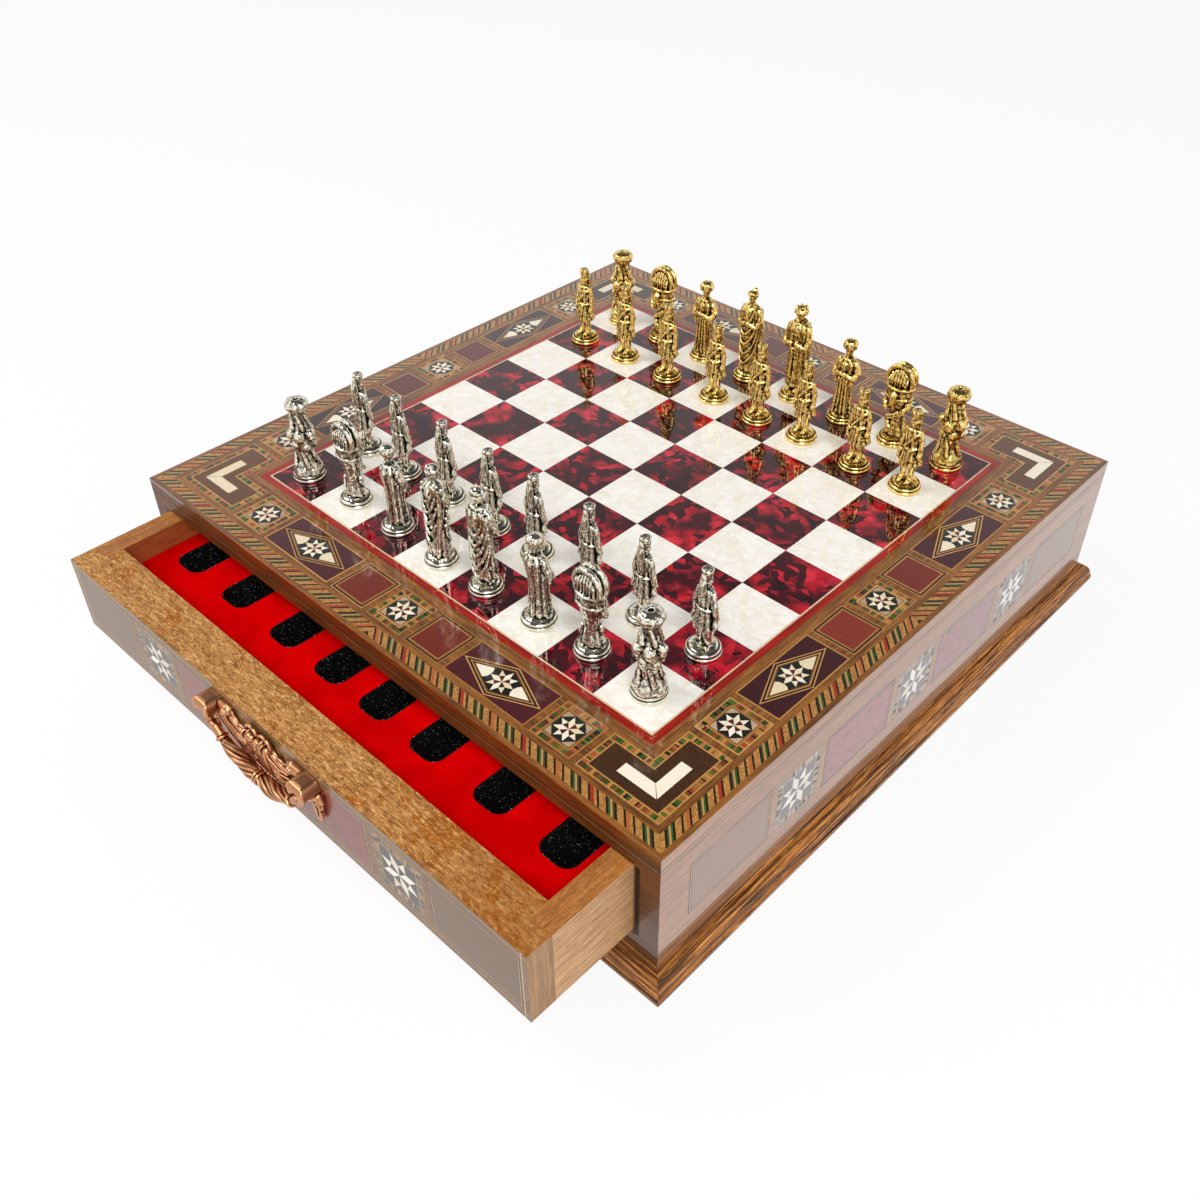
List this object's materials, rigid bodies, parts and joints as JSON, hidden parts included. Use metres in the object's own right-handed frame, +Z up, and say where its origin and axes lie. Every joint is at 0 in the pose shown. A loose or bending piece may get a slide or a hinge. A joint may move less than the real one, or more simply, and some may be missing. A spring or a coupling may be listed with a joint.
{
  "type": "chess box with drawers",
  "caption": "Square inlaid chess box on a moulded plinth, with a pearl playing field, two velvet lined drawers on bail pulls and a set of cast metal men.",
  "frame": {"origin": "middle of the underside, on the surface the box stands on", "axes": "+Z up, -Y towards the open drawer, +X to the right seen from that drawer"},
  "size_m": [0.4014, 0.467, 0.1492],
  "materials": {
    "plinth_stain": "stained and lacquered, open grain",
    "case_walnut": "high gloss lacquer",
    "plain_beech": "bare planed wood",
    "white_pearl": "pearl sheet under gloss lacquer",
    "red_pearl": "red pearl sheet under gloss lacquer",
    "light_stringing": "gloss lacquer",
    "red_veneer": "gloss lacquer",
    "dark_veneer": "gloss lacquer",
    "aubergine_veneer": "gloss lacquer",
    "ivory_inlay": "gloss lacquer",
    "red_velvet": "short pile velvet",
    "black_felt": "fine black felt",
    "aged_copper": "cast, aged copper finish",
    "aged_silver": "cast, polished silver with dark patina",
    "aged_gold": "cast, polished gold with dark patina"
  },
  "bodies": {
    "case": {"plinth_front": "plinth_stain", "plinth_back": "plinth_stain", "plinth_left": "plinth_stain", "plinth_right": "plinth_stain", "left_wall": "case_walnut", "right_wall": "case_walnut", "front_rails": "case_walnut", "back_rails": "case_walnut", "bottom_panel": "plain_beech", "centre_divider": "plain_beech", "drawer_runners": "plain_beech", "top_board": "case_walnut", "border_front": "case_walnut", "border_back": "case_walnut", "border_left": "case_walnut", "border_right": "case_walnut", "light_squares": "white_pearl", "dark_squares": "red_pearl", "field_stringing": "light_stringing", "red_band": "red_veneer", "star_tiles": "dark_veneer", "diamond_tiles": "aubergine_veneer", "plain_tiles": "red_veneer", "corner_tiles": "dark_veneer", "ivory_inlays": "ivory_inlay", "wall_star_tiles": "dark_veneer", "wall_red_panels": "red_veneer", "wall_walnut_panels": "case_walnut"},
    "front_drawer": {"front_drawer_face": "case_walnut", "front_drawer_sides": "plain_beech", "front_drawer_back": "plain_beech", "front_drawer_floor": "plain_beech", "front_drawer_tray": "red_velvet", "front_pocket_linings": "black_felt", "front_drawer_inlays": "case_walnut", "front_pull_plate": "aged_copper", "front_pull_screws": "aged_copper"},
    "back_drawer": {"back_drawer_face": "case_walnut", "back_drawer_sides": "plain_beech", "back_drawer_back": "plain_beech", "back_drawer_floor": "plain_beech", "back_drawer_tray": "red_velvet", "back_pocket_linings": "black_felt", "back_drawer_inlays": "case_walnut", "back_pull_plate": "aged_copper", "back_pull_screws": "aged_copper"},
    "front_bail": {"front_pull_bail": "aged_copper"},
    "back_bail": {"back_pull_bail": "aged_copper"},
    "silver_pawns_lift": {"silver_pawns": "aged_silver"},
    "silver_rooks_lift": {"silver_rooks": "aged_silver"},
    "silver_knights_lift": {"silver_knights": "aged_silver"},
    "silver_bishops_lift": {"silver_bishops": "aged_silver"},
    "silver_queen_lift": {"silver_queen": "aged_silver"},
    "silver_king_lift": {"silver_king": "aged_silver"},
    "gold_pawns_lift": {"gold_pawns": "aged_gold"},
    "gold_rooks_lift": {"gold_rooks": "aged_gold"},
    "gold_knights_lift": {"gold_knights": "aged_gold"},
    "gold_bishops_lift": {"gold_bishops": "aged_gold"},
    "gold_queen_lift": {"gold_queen": "aged_gold"},
    "gold_king_lift": {"gold_king": "aged_gold"}
  },
  "joints": [
    {"name": "front_drawer_slide", "type": "slide", "parent": "case", "child": "front_drawer", "axis": [0, -1, 0], "range_m": [-0.06, 0.09]},
    {"name": "back_drawer_slide", "type": "slide", "parent": "case", "child": "back_drawer", "axis": [0, 1, 0], "range_m": [0, 0.15]},
    {"name": "front_bail_swing", "type": "hinge", "parent": "front_drawer", "child": "front_bail", "pos_m": [0, -0.25965, 0.0612], "axis": [-1, 0, 0], "range_deg": [0, 90]},
    {"name": "back_bail_swing", "type": "hinge", "parent": "back_drawer", "child": "back_bail", "pos_m": [0, 0.19965, 0.0612], "axis": [1, 0, 0], "range_deg": [0, 90]},
    {"name": "silver_pawns_lift", "type": "slide", "parent": "case", "child": "silver_pawns_lift", "axis": [0, 0, 1], "range_m": [0, 0.08]},
    {"name": "silver_rooks_lift", "type": "slide", "parent": "case", "child": "silver_rooks_lift", "axis": [0, 0, 1], "range_m": [0, 0.08]},
    {"name": "silver_knights_lift", "type": "slide", "parent": "case", "child": "silver_knights_lift", "axis": [0, 0, 1], "range_m": [0, 0.08]},
    {"name": "silver_bishops_lift", "type": "slide", "parent": "case", "child": "silver_bishops_lift", "axis": [0, 0, 1], "range_m": [0, 0.08]},
    {"name": "silver_queen_lift", "type": "slide", "parent": "case", "child": "silver_queen_lift", "axis": [0, 0, 1], "range_m": [0, 0.08]},
    {"name": "silver_king_lift", "type": "slide", "parent": "case", "child": "silver_king_lift", "axis": [0, 0, 1], "range_m": [0, 0.08]},
    {"name": "gold_pawns_lift", "type": "slide", "parent": "case", "child": "gold_pawns_lift", "axis": [0, 0, 1], "range_m": [0, 0.08]},
    {"name": "gold_rooks_lift", "type": "slide", "parent": "case", "child": "gold_rooks_lift", "axis": [0, 0, 1], "range_m": [0, 0.08]},
    {"name": "gold_knights_lift", "type": "slide", "parent": "case", "child": "gold_knights_lift", "axis": [0, 0, 1], "range_m": [0, 0.08]},
    {"name": "gold_bishops_lift", "type": "slide", "parent": "case", "child": "gold_bishops_lift", "axis": [0, 0, 1], "range_m": [0, 0.08]},
    {"name": "gold_queen_lift", "type": "slide", "parent": "case", "child": "gold_queen_lift", "axis": [0, 0, 1], "range_m": [0, 0.08]},
    {"name": "gold_king_lift", "type": "slide", "parent": "case", "child": "gold_king_lift", "axis": [0, 0, 1], "range_m": [0, 0.08]}
  ]
}
